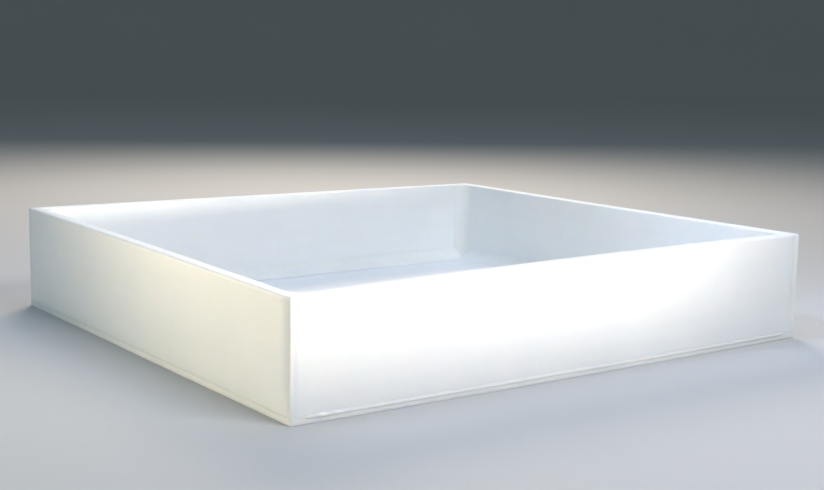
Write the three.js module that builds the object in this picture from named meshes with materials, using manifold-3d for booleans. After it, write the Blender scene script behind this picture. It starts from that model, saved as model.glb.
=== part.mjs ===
// Open-topped processing tray, fabricated from thick polypropylene sheet and rod welds.
// Millimetres, +Z up. The origin is on the underside, at the centre of the tray.
// +X runs along the long front and back walls, and the front wall faces -Y.

import * as THREE from "three";
import { mergeVertices } from "three/addons/utils/BufferGeometryUtils.js";
import Module from "manifold-3d";

const wasm = await Module();
wasm.setup();

// ---- driving dimensions ----
const trayLength = 610; // outside, along X
const trayWidth = 559; // outside, along Y
const trayHeight = 107;
const wallThickness = 12.7;
const baseThickness = 6.35;

const cornerRadius = 1.5; // outside vertical corners, after the weld is scraped flush
const cornerReach = 5; // width of the outside corner weld on both faces
const grooveDepth = 5.5; // how deep the outside corner weld reaches in from both faces
const weldPrep = 2; // bevel that the outside base seam weld fills
const beadCrown = 0.9; // how far a base seam bead stands out on the front and back
const flushCrown = 0.2; // the same on the left and right, where the bead is scraped
const beadSetback = 12; // from the tray's corner to the end of a base seam bead
const filletLeg = 12; // inside welds, measured along wall and floor
const rimEase = 1.5; // bevel on both edges of the rim
const arris = 0.8; // bevel round the underside of the base plate
const jointGap = 0.3; // clear space kept between neighbouring pieces

// ---- worked-out dimensions ----
const wallFoot = baseThickness + jointGap;
const innerFace = wallThickness + jointGap; // where an inside weld starts, from the outer face
const seamHeight = baseThickness + jointGap / 2;
const mitreInset = (jointGap / 2) * Math.SQRT2;

const sides = [
  { name: "front", quarterTurns: 0, span: trayLength, centre: [0, -trayWidth / 2], crown: beadCrown },
  { name: "right", quarterTurns: 1, span: trayWidth, centre: [trayLength / 2, 0], crown: flushCrown },
  { name: "back", quarterTurns: 2, span: trayLength, centre: [0, trayWidth / 2], crown: beadCrown },
  { name: "left", quarterTurns: 3, span: trayWidth, centre: [-trayLength / 2, 0], crown: flushCrown },
];

const corners = [
  { name: "front_left", quarterTurns: 0, point: [-trayLength / 2, -trayWidth / 2] },
  { name: "front_right", quarterTurns: 1, point: [trayLength / 2, -trayWidth / 2] },
  { name: "back_right", quarterTurns: 2, point: [trayLength / 2, trayWidth / 2] },
  { name: "back_left", quarterTurns: 3, point: [-trayLength / 2, trayWidth / 2] },
];

// ---- helpers ----
function outline(points) {
  return new THREE.Shape(points.map(([x, y]) => new THREE.Vector2(x, y)));
}

// A shape drawn in plan, standing between two heights.
function prism(shape, low, high) {
  const geometry = new THREE.ExtrudeGeometry(shape, { depth: high - low, bevelEnabled: false });
  return geometry.translate(0, 0, low);
}

// A shape drawn as (Y, Z), run along X and centred on X = 0.
function bar(shape, length) {
  const geometry = new THREE.ExtrudeGeometry(shape, { depth: length, bevelEnabled: false });
  geometry.translate(0, 0, -length / 2);
  const standUp = new THREE.Matrix4().makeBasis(
    new THREE.Vector3(0, 1, 0),
    new THREE.Vector3(0, 0, 1),
    new THREE.Vector3(1, 0, 0),
  );
  return geometry.applyMatrix4(standUp);
}

function toSolid(geometry) {
  const bare = geometry.clone();
  bare.deleteAttribute("normal");
  bare.deleteAttribute("uv");
  const merged = mergeVertices(bare, 1e-4);
  const mesh = new wasm.Mesh({
    numProp: 3,
    vertProperties: new Float32Array(merged.attributes.position.array),
    triVerts: new Uint32Array(merged.index.array),
  });
  return new wasm.Manifold(mesh);
}

function toGeometry(solid) {
  const mesh = solid.getMesh();
  const geometry = new THREE.BufferGeometry();
  geometry.setAttribute("position", new THREE.BufferAttribute(mesh.vertProperties, 3));
  geometry.setIndex(new THREE.BufferAttribute(mesh.triVerts, 1));
  const faceted = geometry.toNonIndexed();
  faceted.computeVertexNormals();
  return faceted;
}

// Plan outline with mitred ends, between two depths from a side's outer face.
function mitredPlan(span, near, far) {
  const nearHalf = span / 2 - near - mitreInset;
  const farHalf = span / 2 - far - mitreInset;
  return outline([
    [-nearHalf, near],
    [nearHalf, near],
    [farHalf, far],
    [-farHalf, far],
  ]);
}

// ---- base plate ----
function baseProfile(across) {
  const half = across / 2;
  return outline([
    [arris - half, 0],
    [half - arris, 0],
    [half, arris],
    [half, baseThickness - weldPrep],
    [half - weldPrep, baseThickness],
    [weldPrep - half, baseThickness],
    [-half, baseThickness - weldPrep],
    [-half, arris],
  ]);
}

function basePlate() {
  const alongX = toSolid(bar(baseProfile(trayWidth), trayLength));
  const alongY = toSolid(bar(baseProfile(trayLength), trayWidth).rotateZ(Math.PI / 2));
  return toGeometry(alongX.intersect(alongY));
}

// ---- walls: local X along the wall, local Y from the outer face inwards ----
function wallProfile() {
  return outline([
    [weldPrep, wallFoot],
    [wallThickness, wallFoot],
    [wallThickness, trayHeight - rimEase],
    [wallThickness - rimEase, trayHeight],
    [rimEase, trayHeight],
    [0, trayHeight - rimEase],
    [0, wallFoot + weldPrep],
  ]);
}

// The ends are mitred, with a groove on the outside for the corner weld.
function wallPlan(span) {
  const faceHalf = span / 2 - cornerReach - jointGap;
  const rootHalf = span / 2 - grooveDepth - mitreInset;
  const innerHalf = span / 2 - wallThickness - mitreInset;
  return outline([
    [-faceHalf, 0],
    [faceHalf, 0],
    [rootHalf, grooveDepth],
    [innerHalf, wallThickness],
    [-innerHalf, wallThickness],
    [-rootHalf, grooveDepth],
  ]);
}

function wall(span) {
  const plank = toSolid(bar(wallProfile(), span));
  const plan = toSolid(prism(wallPlan(span), 0, trayHeight + rimEase));
  return toGeometry(plank.intersect(plan));
}

// ---- outside base seam weld: fills the bevels of wall and base plate ----
function seamBead(span, crown) {
  const halfHeight = weldPrep - jointGap;
  const shape = new THREE.Shape();
  shape.moveTo(halfHeight, seamHeight);
  shape.lineTo(0, seamHeight + halfHeight);
  shape.quadraticCurveTo(-2 * crown, seamHeight, 0, seamHeight - halfHeight);
  shape.closePath();
  return bar(shape, span - 2 * beadSetback);
}

// ---- inside floor weld: a fillet between wall and floor, mitred into its neighbours ----
function floorFillet(span) {
  const section = outline([
    [innerFace, wallFoot],
    [innerFace + filletLeg, wallFoot],
    [innerFace, wallFoot + filletLeg],
  ]);
  const run = toSolid(bar(section, span));
  const plan = toSolid(prism(mitredPlan(span, wallThickness, innerFace + filletLeg), 0, trayHeight));
  return toGeometry(run.intersect(plan));
}

// ---- corner pieces: the tray's outside corner is local (0, 0), and the tray lies towards +X, +Y ----
function cornerWeld() {
  const shape = new THREE.Shape();
  shape.moveTo(cornerReach, 0);
  shape.lineTo(grooveDepth - jointGap, grooveDepth - jointGap);
  shape.lineTo(0, cornerReach);
  shape.absarc(cornerRadius, cornerRadius, cornerRadius, Math.PI, 1.5 * Math.PI, false);
  return prism(shape, wallFoot, trayHeight);
}

// The room that a floor weld takes beside a vertical one, with the joint gap added.
function floorWeldRoom() {
  const leg = filletLeg + (2 + Math.SQRT2) * jointGap;
  const section = outline([
    [wallThickness, baseThickness],
    [wallThickness + leg, baseThickness],
    [wallThickness, baseThickness + leg],
  ]);
  return bar(section, 6 * (wallThickness + filletLeg));
}

function insideCornerFillet() {
  const section = outline([
    [innerFace, innerFace],
    [innerFace + filletLeg, innerFace],
    [innerFace, innerFace + filletLeg],
  ]);
  const post = toSolid(prism(section, wallFoot, trayHeight));
  const besideOneWall = toSolid(floorWeldRoom());
  const besideTheOther = toSolid(floorWeldRoom().rotateZ(-Math.PI / 2));
  return toGeometry(post.subtract(besideOneWall).subtract(besideTheOther));
}

// ---- assembly ----
const sheetMaterial = new THREE.MeshStandardMaterial({ color: 0xe8ebec, roughness: 0.45, metalness: 0 });
const weldMaterial = new THREE.MeshStandardMaterial({ color: 0xf0efe8, roughness: 0.35, metalness: 0 });

const tray = new THREE.Group();

function place(name, geometry, material, [x, y], quarterTurns) {
  const mesh = new THREE.Mesh(geometry, material.clone());
  mesh.name = name;
  mesh.position.set(x, y, 0);
  mesh.rotation.z = (quarterTurns * Math.PI) / 2;
  tray.add(mesh);
}

place("base_plate", basePlate(), sheetMaterial, [0, 0], 0);

for (const { name, quarterTurns, span, centre, crown } of sides) {
  place(`${name}_wall`, wall(span), sheetMaterial, centre, quarterTurns);
  place(`base_seam_weld_${name}`, seamBead(span, crown), weldMaterial, centre, quarterTurns);
  place(`floor_weld_${name}`, floorFillet(span), weldMaterial, centre, quarterTurns);
}

for (const { name, quarterTurns, point } of corners) {
  place(`corner_weld_${name}`, cornerWeld(), weldMaterial, point, quarterTurns);
  place(`inside_corner_weld_${name}`, insideCornerFillet(), weldMaterial, point, quarterTurns);
}

export default tray;
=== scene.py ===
import math

import bmesh
import bpy
from mathutils import Matrix, Vector, noise


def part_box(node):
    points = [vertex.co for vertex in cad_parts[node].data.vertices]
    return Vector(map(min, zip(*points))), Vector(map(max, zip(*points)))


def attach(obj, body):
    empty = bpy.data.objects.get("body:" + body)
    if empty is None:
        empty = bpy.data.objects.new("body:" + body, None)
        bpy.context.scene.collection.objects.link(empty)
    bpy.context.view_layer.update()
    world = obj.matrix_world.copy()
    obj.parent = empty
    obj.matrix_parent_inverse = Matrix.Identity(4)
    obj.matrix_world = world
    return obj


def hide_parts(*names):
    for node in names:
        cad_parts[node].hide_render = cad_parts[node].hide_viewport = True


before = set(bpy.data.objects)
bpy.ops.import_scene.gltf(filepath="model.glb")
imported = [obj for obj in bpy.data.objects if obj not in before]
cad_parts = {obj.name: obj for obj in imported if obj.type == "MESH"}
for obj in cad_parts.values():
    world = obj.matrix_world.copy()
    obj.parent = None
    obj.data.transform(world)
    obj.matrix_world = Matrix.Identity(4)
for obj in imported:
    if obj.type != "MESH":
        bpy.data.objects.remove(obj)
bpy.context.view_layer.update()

# An open processing tray, fabricated from thick polypropylene sheet and rod welds.
# Everything is in metres, in the CAD's frame: the origin is under the middle of the base plate,
# +X runs along the front, and the front wall faces -Y.

MM = 0.001

# ---- sizes, from the CAD frame ----
base_low, base_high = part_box("base_plate")
front_low, front_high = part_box("front_wall")
floor_weld_low, floor_weld_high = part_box("floor_weld_front")
corner_low, corner_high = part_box("corner_weld_front_left")

LENGTH = base_high.x - base_low.x
WIDTH = base_high.y - base_low.y
BASE = base_high.z
HEIGHT = front_high.z
WALL = front_high.y - front_low.y
FILLET_LEG = floor_weld_high.z - floor_weld_low.z
CORNER_REACH = corner_high.x - corner_low.x

# ---- small sizes of the hand work ----
RIM_EASE_OUT = 2.4 * MM  # rounding of the rim's outside edge
RIM_EASE_IN = 2.0 * MM
ARRIS_RADIUS = 1.5 * MM  # outside vertical edges
GROOVE_ROOT = 5.5 * MM  # how deep a corner weld's root sits below both outside faces
HOLLOW_DEPTH = 2.2 * MM  # the scraper's hollow beside each corner
HOLLOW_LINE = 4.8 * MM  # where it is deepest, from the corner
HOLLOW_START = 16 * MM  # where it begins, from the corner
HOLLOW_FADE = 1.7  # exponent of its run-out along the wall
HOLLOW_FOOT = 0.25  # its width narrows to this share at the foot
FLARE_HEIGHT = 18 * MM  # the hollow runs out into the square foot of the corner over this height
PREP = 2.0 * MM  # chamfer that the base seam's bead fills on the front and back
FLUSH_PREP = 0.7 * MM  # and on the left and right, where the bead is scraped flush
LEAST_PREP = 0.03  # share of the chamfer that is left past the ends of a bead
SEAM = 0.03 * MM  # fused faces stay this far apart, so that light passes from one mesh to the next
TOE = 0.22 * MM  # thickness of an inside weld along its edges
FULL_LEG = 1.2  # an inside weld's leg as a share of the CAD's
BEAD_SETBACK = 12 * MM  # a bead stops this far short of both ends of its side
BEAD_RUN_OUT = 4 * MM
BEAD_CROWN = 0.6 * MM
FLUSH_CROWN = 0.06 * MM
BEAD_LUMPS = ((5, 0.4), (18, 1.4), (32, 1.2), (47, 0.4), (72, 0.6), (90, 0.5))  # place and height, in mm
LUMP_WIDTH = 3.6 * MM
UNDERCUT = 0.45 * MM  # the base plate's edge falls back this much under a full bead
UNDERCUT_START = 1.45  # and starts to at this depth below the seam, as a multiple of the chamfer
BASE_ARRIS = 0.8 * MM  # rounding of the base plate's lower edge
EDGE_SUPPORT = 0.4 * MM  # a ring this near a rounding keeps the flat face beside it flat

# ---- weld shrinkage: how far the finished tray is out of true ----
RIM_TWIST = 2.7 * MM  # two opposite rim corners low by this, the other two high
FRONT_BOW = 4.0 * MM  # the middle of the front rim leans in by this
FRONT_CROWN = 1.2 * MM  # and stands high by this
FOOT_BOW = 2.5 * MM  # the foot of the front bulges out by this
SIDE_BOW = 1.5 * MM  # the middles of the left and right rims lean in by this
WAVES = 0.22 * MM  # uneven sheet surface
WAVE_SIZE = 0.11  # about a hand's width
FLOOR_SAG = 0.3 * MM

SIDES = [
    {"name": "front", "turns": 0, "span": LENGTH, "centre": (0, -WIDTH / 2)},
    {"name": "right", "turns": 1, "span": WIDTH, "centre": (LENGTH / 2, 0)},
    {"name": "back", "turns": 2, "span": LENGTH, "centre": (0, WIDTH / 2)},
    {"name": "left", "turns": 3, "span": WIDTH, "centre": (-LENGTH / 2, 0)},
]
CORNERS = [
    {"name": "front_left", "turns": 0, "point": (-LENGTH / 2, -WIDTH / 2)},
    {"name": "front_right", "turns": 1, "point": (LENGTH / 2, -WIDTH / 2)},
    {"name": "back_right", "turns": 2, "point": (LENGTH / 2, WIDTH / 2)},
    {"name": "back_left", "turns": 3, "point": (-LENGTH / 2, WIDTH / 2)},
]


# ---------------------------------------------------------------- shape helpers
SEED_STEPS = (17.3, -9.1, 5.7)  # how far apart in the noise two seeds read


def wander(seed, size, *place):
    """Smooth noise from -1 to 1. It changes over `size` metres, and each seed has its own."""
    full_place = (list(place) + [0, 0, 0])[:3]
    return noise.noise(Vector([p / size + step * seed for p, step in zip(full_place, SEED_STEPS)]))


def ripple_at(seed, place, length, unevenness, size):
    """A weld's ripple, from -1 to 1. Its crests wander by `unevenness`, over `size` metres."""
    return math.sin(2 * math.pi * (place + unevenness * wander(seed, size, place)) / length)


def smooth_step(value):
    value = min(1.0, max(0.0, value))
    return value * value * (3 - 2 * value)


def spread(low, high, count):
    """count + 1 evenly spaced values from low to high."""
    return [low + (high - low) * i / count for i in range(count + 1)]


def arc(centre, radius, start, end, steps):
    """Points on an arc, with angles in degrees."""
    angles = [math.radians(a) for a in spread(start, end, steps)]
    return [(centre[0] + radius * math.cos(a), centre[1] + radius * math.sin(a)) for a in angles]


def settle(p):
    """Where a point of the true, square tray lies once weld shrinkage has pulled it."""
    x, y, up = 2 * p.x / LENGTH, 2 * p.y / WIDTH, max(0.0, p.z / HEIGHT)
    frontness = smooth_step(-y)
    along_front = max(0.0, 1 - x * x)
    along_side = max(0.0, 1 - y * y)
    lean = up * up
    front_bow = (FRONT_BOW * lean - FOOT_BOW * (1 - up)) * frontness * along_front
    return Vector((
        p.x - SIDE_BOW * x * along_side * lean + WAVES * wander(31, WAVE_SIZE, *p),
        p.y + front_bow + WAVES * wander(32, WAVE_SIZE, *p),
        p.z - RIM_TWIST * x * y * up + FRONT_CROWN * frontness * along_front * lean,
    ))


def at_side(side, along, depth, z):
    """A point beside a wall: along it, in from its outside face, and up."""
    return turned(along, depth, z, side["turns"], side["centre"])


def turned(x, y, z, turns, origin):
    """Where a point measured from an origin lies after quarter turns about it, once settled."""
    for _ in range(turns):
        x, y = -y, x
    return settle(Vector((origin[0] + x, origin[1] + y, z)))


def solid_from_rings(name, rings, materials, material_of=None, crease=38):
    """Closed mesh through rings of equal length.

    material_of(i, j) picks the slot of the face after ring i, point j."""
    bm = bmesh.new()
    rows = [[bm.verts.new(p) for p in ring] for ring in rings]
    count = len(rings[0])
    for i in range(len(rows) - 1):
        for j in range(count):
            k = (j + 1) % count
            face = bm.faces.new((rows[i][j], rows[i][k], rows[i + 1][k], rows[i + 1][j]))
            if material_of:
                face.material_index = material_of(i, j)
    bm.faces.new(reversed(rows[0]))
    bm.faces.new(rows[-1])
    bmesh.ops.recalc_face_normals(bm, faces=bm.faces)
    mesh = bpy.data.meshes.new(name)
    bm.to_mesh(mesh)
    bm.free()
    for face in mesh.polygons:
        face.use_smooth = True
    mesh.set_sharp_from_angle(angle=math.radians(crease))
    for material in materials:
        mesh.materials.append(material)
    piece = bpy.data.objects.new(name, mesh)
    bpy.context.collection.objects.link(piece)
    return piece


def finish_piece(piece, node):
    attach(piece, "root")
    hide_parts(node)


# ---------------------------------------------------------------- materials
def new_material(name):
    """A material, its node tree and a function that adds nodes to it."""
    material = bpy.data.materials.new(name)
    material.use_nodes = True
    tree = material.node_tree

    def add(kind, inputs=None, **settings):
        node = tree.nodes.new(kind)
        for key, value in settings.items():
            setattr(node, key, value)
        for key, value in (inputs or {}).items():
            if isinstance(value, bpy.types.NodeSocket):
                tree.links.new(value, node.inputs[key])
            else:
                node.inputs[key].default_value = value
        return node

    return material, tree, add


def noise_value(add, place, scale, detail, stretch=(1, 1, 1)):
    """Noise over the object's own coordinates. scale is in cells per metre, before the stretch."""
    mapping = add("ShaderNodeMapping", {"Vector": place, "Scale": stretch})
    texture = add(
        "ShaderNodeTexNoise",
        {"Vector": mapping.outputs[0], "Scale": scale, "Detail": detail, "Roughness": 0.55},
    )
    return texture.outputs["Fac"]


def ramp(add, value, low, high, to_low=0.0, to_high=1.0):
    node = add(
        "ShaderNodeMapRange",
        {"Value": value, "From Min": low, "From Max": high, "To Min": to_low, "To Max": to_high},
        clamp=True,
    )
    return node.outputs["Result"]


def arithmetic(add, kind, a, b):
    return add("ShaderNodeMath", {0: a, 1: b}, operation=kind).outputs[0]


def blend_colours(add, share, first, second):
    node = add("ShaderNodeMix", data_type="RGBA")
    tree = node.id_data
    for socket, value in (("Factor_Float", share), ("A_Color", first), ("B_Color", second)):
        target = next(s for s in node.inputs if s.identifier == socket)
        if isinstance(value, bpy.types.NodeSocket):
            tree.links.new(value, target)
        else:
            target.default_value = value
    return next(s for s in node.outputs if s.identifier == "Result_Color")


def plastic(name, colours, roughness, grain, scratches, bump, glow):
    """Translucent natural polypropylene.

    colours are its light and dark tints, and grain is the stretch of its fine lines."""
    material, tree, add = new_material(name)
    place = add("ShaderNodeTexCoord").outputs["Object"]
    clouds = noise_value(add, place, 14, detail=4)
    specks = noise_value(add, place, 180, detail=2)
    streaks = noise_value(add, place, 90, detail=3, stretch=grain)
    cloud_tone = ramp(add, clouds, 0.3, 0.7, 0, 0.7)
    streak_tone = ramp(add, streaks, 0.35, 0.7, 0, 0.3)
    tone = arithmetic(add, "ADD", cloud_tone, streak_tone)
    colour = blend_colours(add, tone, (*colours[0], 1), (*colours[1], 1))

    fine_scratch = noise_value(add, place, 420, detail=2, stretch=(1, 0.05, 0.4))
    cross_scratch = noise_value(add, place, 420, detail=2, stretch=(0.05, 1, 0.4))
    fine_lines = ramp(add, fine_scratch, 0.62, 0.72)
    cross_lines = ramp(add, cross_scratch, 0.64, 0.74)
    worn_patches = ramp(add, noise_value(add, place, 9, detail=2), 0.45, 0.7, 0.0, scratches)
    scuffs = arithmetic(add, "MULTIPLY", arithmetic(add, "MAXIMUM", fine_lines, cross_lines), worn_patches)
    rough = arithmetic(add, "ADD", ramp(add, specks, 0.3, 0.7, roughness - 0.05, roughness + 0.05), scuffs)
    height = arithmetic(
        add,
        "ADD",
        arithmetic(add, "MULTIPLY", specks, 0.35),
        arithmetic(add, "MULTIPLY", streaks, 0.65),
    )
    relief = add("ShaderNodeBump", {"Height": height, "Strength": bump, "Distance": 0.6 * MM})
    scored = add(
        "ShaderNodeBump",
        {"Height": scuffs, "Strength": 0.5 * bump, "Distance": 0.2 * MM, "Normal": relief.outputs[0]},
        invert=True,
    )
    surface = tree.nodes["Principled BSDF"]
    tree.links.new(colour, surface.inputs["Base Color"])
    tree.links.new(rough, surface.inputs["Roughness"])
    tree.links.new(scored.outputs[0], surface.inputs["Normal"])
    surface.inputs["IOR"].default_value = PLASTIC_IOR
    surface.inputs["Subsurface Weight"].default_value = GLOW_SHARE
    surface.inputs["Subsurface Radius"].default_value = GLOW_REACH
    surface.inputs["Subsurface Scale"].default_value = glow
    return material


SHEET_TINTS = ((0.93, 0.935, 0.93), (0.88, 0.89, 0.885))
# the base plate's edge is tinted darker than the sheet's faces
DARKER_EDGE_TINTS = ((0.86, 0.865, 0.86), (0.79, 0.80, 0.79))
WELD_TINTS = ((0.93, 0.93, 0.91), (0.87, 0.87, 0.84))

PLASTIC_IOR = 1.49
GLOW_SHARE = 0.6  # of the light that goes in and wanders before it comes out
GLOW_REACH = (1.0, 0.86, 0.66)  # red wanders furthest
SHEET_GLOW = 2.2 * MM  # how far it wanders
EDGE_GLOW = 1.5 * MM  # less in edges and welds, so that thin places don't look dark
BEAD_GLOW = 0.5 * MM

sheet_x = plastic("sheet_grain_x", SHEET_TINTS, 0.42, (0.08, 1, 1), 0.16, 0.5, SHEET_GLOW)
sheet_y = plastic("sheet_grain_y", SHEET_TINTS, 0.42, (1, 0.08, 1), 0.16, 0.5, SHEET_GLOW)
planed_x = plastic("planed_edge_x", SHEET_TINTS, 0.5, (1, 0.15, 0.15), 0.1, 0.4, EDGE_GLOW)
planed_y = plastic("planed_edge_y", SHEET_TINTS, 0.5, (0.15, 1, 0.15), 0.1, 0.4, EDGE_GLOW)
# the base plate's edge: rougher, with vertical lines, and tinted darker than the sheet's faces
sawn = plastic("sawn_edge", DARKER_EDGE_TINTS, 0.55, (0.3, 0.3, 1), 0.1, 0.5, EDGE_GLOW)
scraped = plastic("scraped_weld", WELD_TINTS, 0.46, (1, 1, 0.06), 0.12, 0.35, EDGE_GLOW)
cast_weld = plastic("weld_skin", WELD_TINTS, 0.34, (1, 1, 1), 0.05, 0.1, BEAD_GLOW)


# ---------------------------------------------------------------- sheet pieces
def hollow_at(corner_number, to_corner, z):
    """Depth of the scraped hollow beside a corner, at a distance from the corner."""
    grown = smooth_step((z - BASE) / FLARE_HEIGHT)
    place = to_corner / (HOLLOW_FOOT + (1 - HOLLOW_FOOT) * grown)
    if place > HOLLOW_LINE:
        share = max(0.0, (HOLLOW_START - place) / (HOLLOW_START - HOLLOW_LINE)) ** HOLLOW_FADE
    else:
        share = max(0.0, (place - ARRIS_RADIUS / 2) / (HOLLOW_LINE - ARRIS_RADIUS / 2))
    return HOLLOW_DEPTH * grown * share * (1 + 0.2 * wander(61 + corner_number, 0.03, z))


def end_inset(depth):
    """How far short of the tray's corner a wall ends, at a depth from its outside face."""
    if depth < GROOVE_ROOT:
        return CORNER_REACH + (GROOVE_ROOT - CORNER_REACH) * depth / GROOVE_ROOT
    return depth + SEAM / 2


def is_flush(side):
    return side["turns"] % 2 == 1


def prep_at(side, along):
    """The chamfer that the base seam's bead fills. It stops short of both ends of the side."""
    to_end = side["span"] / 2 - abs(along)
    share = smooth_step((to_end - BEAD_SETBACK) / BEAD_RUN_OUT)
    full = FLUSH_PREP if is_flush(side) else PREP
    uneven = 1 + 0.12 * wander(side["turns"] + 51, 0.03, along)
    return full * (LEAST_PREP + (1 - LEAST_PREP) * share * uneven)


def wall_section(ease_out, ease_in, foot, top, prep):
    """(depth, height) points round a wall, and which of them are on the planed rim."""
    outer = [(prep, foot)] + [(0.0, z) for z in spread(foot + prep, top - ease_out - EDGE_SUPPORT, 14)]
    rim = arc((ease_out, top - ease_out), ease_out, 180, 90, 6)
    rim += [(ease_out + EDGE_SUPPORT, top), (WALL / 2, top), (WALL - ease_in - EDGE_SUPPORT, top)]
    rim += arc((WALL - ease_in, top - ease_in), ease_in, 90, 0, 6)
    inner = [(WALL, z) for z in spread(top - ease_in - EDGE_SUPPORT, foot, 14)]
    under = [(WALL * 0.66, foot), (WALL * 0.33, foot)]
    return outer + rim + inner + under, range(len(outer) - 1, len(outer) + len(rim))


def wall(side, seed):
    """A wall from one corner to the next, with rings closer together where it is scraped hollow."""
    half = side["span"] / 2
    corner_number = (side["turns"] + 1) % 4
    rings = []
    for s in spread(-1, 0.92, 115) + spread(0.92, 1, 30)[1:]:
        along = s * (half - CORNER_REACH)
        ease_out = RIM_EASE_OUT * (1 + 0.16 * wander(seed, 0.05, along))
        ease_in = RIM_EASE_IN * (1 + 0.16 * wander(seed + 3, 0.045, along))
        top = HEIGHT + 0.12 * MM * wander(seed + 5, 0.06, along)
        points, rim = wall_section(ease_out, ease_in, BASE + SEAM, top, prep_at(side, along))
        ring = []
        for depth, z in points:
            scraped_off = hollow_at(corner_number, half - along, z) * max(0.0, 1 - 2 * depth / WALL)
            ring.append(at_side(side, s * (half - end_inset(depth)), depth + scraped_off, z))
        rings.append(ring)
    along_x = side["turns"] % 2 == 0
    materials = [sheet_x, planed_x] if along_x else [sheet_y, planed_y]
    on_rim = set(rim)
    piece = solid_from_rings(
        f"{side['name']}_wall_sheet", rings, materials, lambda i, j: 1 if j in on_rim else 0
    )
    finish_piece(piece, f"{side['name']}_wall")


def base_ring(inset_at, height_at):
    """A ring round the base plate.

    inset_at and height_at give its distance in and its height at a place on a side."""
    ring = []
    for side in SIDES:
        half = side["span"] / 2
        corner_inset = inset_at(side, half)
        centre = max(ARRIS_RADIUS, corner_inset + 0.2 * MM)
        straight = half - centre
        places = [(along, inset_at(side, along)) for along in spread(-straight, straight, 124)]
        places += arc((straight, centre), centre - corner_inset, -90, 0, 4)[1:-1]
        for along, depth in places:
            ring.append(at_side(side, along, depth, height_at(side, along)))
    return ring


def base_plate():
    """The floor sheet, as rings from the middle of its underside out, up its edge and in over its top."""

    def same(value):
        return lambda side, along: value

    def dished(ring):
        """The floor sags a little, unevenly."""
        return [Vector((p.x, p.y, p.z - FLOOR_SAG + FLOOR_SAG * wander(41, 0.12, p.x, p.y))) for p in ring]

    field = [MM * inset for inset in (32, 50, 75, 105, 140, 180, 225, 265)]
    rings = [base_ring(same(inset), same(0.0)) for inset in reversed(field)]
    rings.append(base_ring(same(5 * MM), same(0.0)))
    first_edge = len(rings) - 1
    for angle in spread(0, 90, 4):
        a = math.radians(angle)
        rings.append(base_ring(same(BASE_ARRIS * (1 - math.sin(a))), same(BASE_ARRIS * (1 - math.cos(a)))))
    rings.append(base_ring(same(0.0), same(1.5 * MM)))
    rings.append(base_ring(same(0.0), lambda side, along: BASE - UNDERCUT_START * prep_at(side, along)))
    undercut = UNDERCUT / PREP
    rings.append(base_ring(
        lambda side, along: undercut * prep_at(side, along),
        lambda side, along: BASE - prep_at(side, along),
    ))
    last_edge = len(rings) - 1
    rings.append(base_ring(prep_at, same(BASE)))
    rings.append(base_ring(same(WALL + FILLET_LEG / 2), same(BASE)))
    rings += [dished(base_ring(same(inset), same(BASE))) for inset in field]
    piece = solid_from_rings(
        "base_plate_sheet",
        rings,
        [sheet_x, sawn],
        lambda i, j: 1 if first_edge <= i < last_edge else 0,
    )
    finish_piece(piece, "base_plate")


# ---------------------------------------------------------------- welds
def bead_face(prep, crown):
    """(stand-out, height) up a bead. It overhangs the base plate's edge and dies away into the wall."""
    curve_top = 0.37
    points = []
    for t in spread(0, 1, 14):
        stand_out = crown * t**0.5 * (1 - t) ** 1.1 / curve_top
        points.append((stand_out, prep * (2 * t - 1)))
    return points


def base_seam_bead(side, seed):
    """The outside bead between wall and base plate: rippled, and lumpy at its start unless scraped flush."""
    half = side["span"] / 2 - BEAD_SETBACK
    flush = is_flush(side)
    full_crown = FLUSH_CROWN if flush else BEAD_CROWN
    rings = []
    for along in spread(-half, half, 420):
        ripple = ripple_at(seed, along, 4.4 * MM, 0.8 * MM, 0.02)
        crown = full_crown * (1 + 0.12 * ripple + 0.4 * wander(seed + 1, 0.03, along))
        for lump, size in () if flush else BEAD_LUMPS:
            offset = (along + half - lump * MM) / LUMP_WIDTH
            crown += size * MM * math.exp(-offset * offset)
        crown *= smooth_step((half - abs(along)) / (5 * MM))
        prep = prep_at(side, along) - SEAM
        ring = [at_side(side, along, -stand_out, BASE + up) for stand_out, up in bead_face(prep, crown)]
        ring.append(at_side(side, along, prep, BASE))
        rings.append(ring)
    skin = scraped if flush else cast_weld
    piece = solid_from_rings(f"base_seam_weld_{side['name']}_bead", rings, [skin], crease=50)
    finish_piece(piece, f"base_seam_weld_{side['name']}")


def fillet_face(low_leg, high_leg, hollow):
    """Points of a hollow fillet with blunt toes, as two distances from the root."""
    points = [(TOE + low_leg, SEAM)]
    for t in spread(0, 1, 10):
        dip = hollow * 4 * t * (1 - t) / math.sqrt(2)
        points.append((TOE + low_leg * (1 - t) - dip, TOE + high_leg * t - dip))
    return points + [(SEAM, TOE + high_leg)]


def floor_weld(side, seed):
    """The inside weld between a wall and the floor."""
    half = side["span"] / 2
    rings = []
    for s in spread(-1, 1, 260):
        along = s * (half - WALL)
        ripple = ripple_at(seed, along, 5.2 * MM, 1.2 * MM, 0.03)
        floor_leg = FILLET_LEG * (FULL_LEG + 0.07 * wander(seed + 1, 0.04, along))
        wall_leg = FILLET_LEG * (FULL_LEG + 0.07 * wander(seed + 2, 0.035, along))
        hollow = 3.2 * MM - 0.08 * MM * ripple + 0.3 * MM * wander(seed + 3, 0.05, along)
        ring = []
        for out, up in fillet_face(floor_leg, wall_leg, hollow):
            ring.append(at_side(side, s * (half - WALL - out), WALL + out, BASE + up))
        ring.append(at_side(side, s * (half - WALL - SEAM), WALL + SEAM, BASE + SEAM))
        rings.append(ring)
    piece = solid_from_rings(f"floor_weld_{side['name']}_fillet", rings, [cast_weld], crease=50)
    finish_piece(piece, f"floor_weld_{side['name']}")


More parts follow.
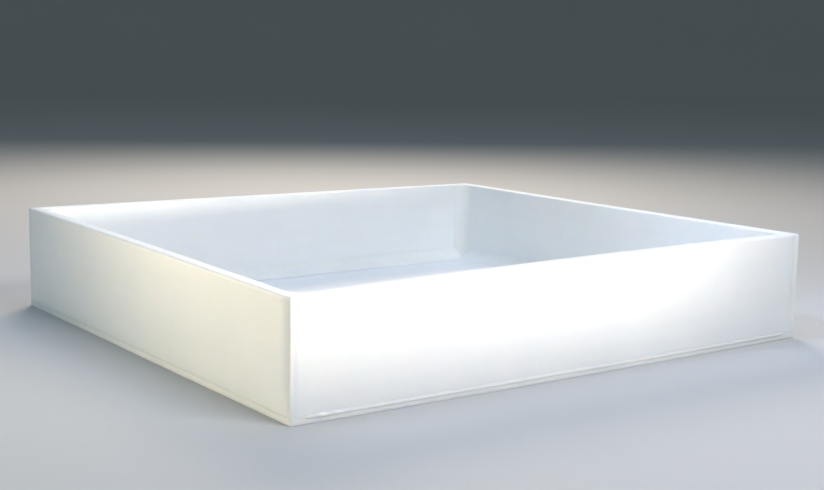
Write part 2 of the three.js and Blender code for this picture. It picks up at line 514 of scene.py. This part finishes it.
def corner_section(number, radius, z, inset):
    """Plan of a corner weld's outside face, from one side round the arris into the hollow of the other.

    inset is how far the rounding of the rim has drawn it in."""
    reach = CORNER_REACH - SEAM
    points = [(reach, 0.0), (0.5 * (reach + radius), 0.0)]
    points += arc((radius, radius), radius, 270, 180, 8)
    points += [(0.0, y) for y in spread(radius, reach, 8)[1:]]
    section = []
    for i, (x, y) in enumerate(points):
        share = i / (len(points) - 1)
        scraped_off = hollow_at(number, y, z) * (1 - 2 * inset / WALL)
        section.append((x + scraped_off + inset * min(1, 2 * share), y + inset * min(1, 2 - 2 * share)))
    return section


def corner_weld(corner, seed):
    """The outside corner weld, scraped flush on one side and a little hollow on the other."""
    low, top = BASE + SEAM, HEIGHT + 0.05 * MM
    heights = spread(low, low + FLARE_HEIGHT, 30)[:-1]
    heights += spread(low + FLARE_HEIGHT, top - RIM_EASE_OUT, 60)
    heights += [top - RIM_EASE_OUT * (1 - math.sin(math.radians(a))) for a in (15, 30, 45, 60, 75, 90)]
    rings = []
    for z in heights:
        lift = max(0.0, z - (top - RIM_EASE_OUT))
        inset = RIM_EASE_OUT - math.sqrt(max(0.0, RIM_EASE_OUT**2 - lift**2))
        radius = ARRIS_RADIUS * (1 + 0.15 * wander(seed, 0.02, z))
        ring = corner_section(corner["turns"], radius, z, inset)
        ring.append((GROOVE_ROOT - SEAM, GROOVE_ROOT - SEAM))
        rings.append([turned(x, y, z, corner["turns"], corner["point"]) for x, y in ring])
    piece = solid_from_rings(f"corner_weld_{corner['name']}_post", rings, [scraped], crease=50)
    finish_piece(piece, f"corner_weld_{corner['name']}")


def inside_corner_weld(corner, seed):
    """The weld up an inside corner. It spreads where it meets the floor's welds, and ends below the rim."""
    low, top = BASE + SEAM, HEIGHT - 0.7 * MM
    rings = []
    for z in spread(low, top, 70):
        ripple = ripple_at(seed, z, 5.0 * MM, 1.0 * MM, 0.02)
        foot = 1 - smooth_step((z - low) / (16 * MM))
        end = smooth_step((top - z) / (2.5 * MM))
        leg = FILLET_LEG * (FULL_LEG + 0.06 * wander(seed + 1, 0.03, z) + 0.45 * foot - 0.06 * (1 - end))
        hollow = 0.24 * leg - 0.08 * MM * ripple
        ring = [(WALL + a, WALL + b) for a, b in fillet_face(leg, leg, hollow)]
        ring.append((WALL + SEAM, WALL + SEAM))
        rings.append([turned(x, y, z, corner["turns"], corner["point"]) for x, y in ring])
    piece = solid_from_rings(f"inside_corner_weld_{corner['name']}_fillet", rings, [cast_weld], crease=50)
    finish_piece(piece, f"inside_corner_weld_{corner['name']}")


base_plate()
for number, side in enumerate(SIDES):
    wall(side, 1 + 20 * number)
    base_seam_bead(side, 7 + 20 * number)
    floor_weld(side, 13 + 20 * number)
for number, corner in enumerate(CORNERS):
    corner_weld(corner, 101 + 20 * number)
    inside_corner_weld(corner, 111 + 20 * number)


# ---------------------------------------------------------------- stage, light and camera
FLOOR_FLAT = 4.5  # radius of the level floor, beyond the side views' camera
COVE_RADIUS = 2.5  # the floor curves up into a backdrop all round
FLOOR_TINTS = ((0.56, 0.555, 0.55, 1), (0.61, 0.605, 0.60, 1))
FLOOR_TURNS = 128


def studio_floor():
    """A plain pale floor, level round the tray and curved up into a backdrop beyond it."""
    material, tree, add = new_material("studio_floor")
    place = add("ShaderNodeTexCoord").outputs["Object"]
    cloud = noise_value(add, place, 1.2, detail=2)
    colour = blend_colours(add, cloud, *FLOOR_TINTS)
    surface = tree.nodes["Principled BSDF"]
    tree.links.new(colour, surface.inputs["Base Color"])
    surface.inputs["Roughness"].default_value = 0.85

    profile = [(FLOOR_FLAT * i / 6, 0.0) for i in range(1, 6)]
    profile += [(r, z + COVE_RADIUS) for r, z in arc((FLOOR_FLAT, 0), COVE_RADIUS, -90, -15, 20)]
    turns = [2 * math.pi * i / FLOOR_TURNS for i in range(FLOOR_TURNS)]
    bm = bmesh.new()
    rows = [[bm.verts.new((r * math.cos(t), r * math.sin(t), z)) for t in turns] for r, z in profile]
    bm.faces.new(rows[0])
    for low, high in zip(rows, rows[1:]):
        for j in range(FLOOR_TURNS):
            k = (j + 1) % FLOOR_TURNS
            bm.faces.new((low[j], high[j], high[k], low[k]))
    mesh = bpy.data.meshes.new("studio_floor")
    bm.to_mesh(mesh)
    bm.free()
    mesh.materials.append(material)
    for face in mesh.polygons:
        face.use_smooth = True
    floor = bpy.data.objects.new("studio_floor", mesh)
    bpy.context.collection.objects.link(floor)


def soft_box(name, place, aim, size, power, colour, spread_angle=180):
    """A rectangular lamp at a place, aimed at another. Its power is in watts."""
    light = bpy.data.lights.new(name, "AREA")
    light.shape = "RECTANGLE"
    light.size, light.size_y = size
    light.energy = power
    light.color = colour
    light.spread = math.radians(spread_angle)
    lamp = bpy.data.objects.new(name, light)
    lamp.location = place
    lamp.rotation_mode = "QUATERNION"
    lamp.rotation_quaternion = (Vector(aim) - Vector(place)).to_track_quat("-Z", "Y")
    bpy.context.collection.objects.link(lamp)


def studio_light():
    """A bright front, warm low light along the left wall, cool light above and warm light behind."""
    world = bpy.data.worlds.new("studio")
    world.use_nodes = True
    background = world.node_tree.nodes["Background"]
    background.inputs["Color"].default_value = (0.7, 0.93, 1.0, 1)
    background.inputs["Strength"].default_value = 0.13
    bpy.context.scene.world = world
    middle = (0, 0, HEIGHT / 2)
    above_front = (-0.12, -WIDTH / 2, 1.7 * HEIGHT)
    near_left = (-LENGTH / 2, -0.22, HEIGHT)
    left_middle = (-LENGTH / 2, 0.05, HEIGHT / 2)
    inside_right = (0.3, -0.22, HEIGHT)
    soft_box("key", (0.15, -1.15, 1.1), middle, (0.7, 0.5), 12, (0.92, 0.95, 1))
    soft_box("low_beam", (-0.12, -1.3, 0.12), above_front, (0.6, 0.06), 0.44, (1, 0.91, 0.72), 22)
    soft_box("low_right", (0.55, -1.15, 0.14), above_front, (0.5, 0.06), 0.15, (0.85, 0.8, 1), 24)
    soft_box("warm_side", (-1.0, -0.1, 0.15), near_left, (0.45, 0.1), 0.33, (1, 0.89, 0.6), 75)
    soft_box("graze", (-1.1, 1.4, 0.17), near_left, (0.2, 0.06), 0.11, (1, 0.82, 0.56), 14)
    soft_box("left_fill", (-1.3, 0.35, 0.5), left_middle, (0.6, 0.4), 0.9, (0.64, 0.86, 1), 120)
    soft_box("overhead", (0, 0, 1.6), middle, (1.2, 1.2), 8.6, (0.53, 0.67, 1))
    soft_box("back", (0.7, 1.2, 1.1), middle, (1.0, 0.6), 18, (1, 0.88, 0.74))
    soft_box("inner_right", (-0.35, -0.1, 0.75), inside_right, (0.2, 0.2), 0.1, (0.54, 0.67, 1), 30)
    bpy.context.scene.view_settings.view_transform = "Standard"
    bpy.context.scene.cycles.diffuse_bounces = 16  # light passes many times between neighbouring pieces
    bpy.context.scene.cycles.max_bounces = 32


CAMERA_PLACE = (-1.4158 * LENGTH, -1.9850 * LENGTH, 0.5278 * LENGTH)
CAMERA_AZIMUTH, CAMERA_ELEVATION, CAMERA_ROLL = 35.93, 9.12, 1.015  # degrees
CAMERA_LENS = 61.6


def photo_camera():
    """Looks down on the near left corner, low over the front."""
    azimuth, elevation, roll = (math.radians(a) for a in (CAMERA_AZIMUTH, CAMERA_ELEVATION, CAMERA_ROLL))
    forward = Vector((
        math.sin(azimuth) * math.cos(elevation),
        math.cos(azimuth) * math.cos(elevation),
        -math.sin(elevation),
    ))
    right = Vector((math.cos(azimuth), -math.sin(azimuth), 0))
    up = right.cross(forward)
    tilted_right = math.cos(roll) * right + math.sin(roll) * up
    tilted_up = math.cos(roll) * up - math.sin(roll) * right
    camera = bpy.data.objects.new("photo_camera", bpy.data.cameras.new("photo_camera"))
    camera.data.lens = CAMERA_LENS
    camera.data.clip_start, camera.data.clip_end = 0.01, 100
    turn = Matrix((tilted_right, tilted_up, -forward)).transposed()
    camera.matrix_world = Matrix.Translation(CAMERA_PLACE) @ turn.to_4x4()
    bpy.context.collection.objects.link(camera)
    bpy.context.scene.camera = camera


studio_floor()
studio_light()
photo_camera()
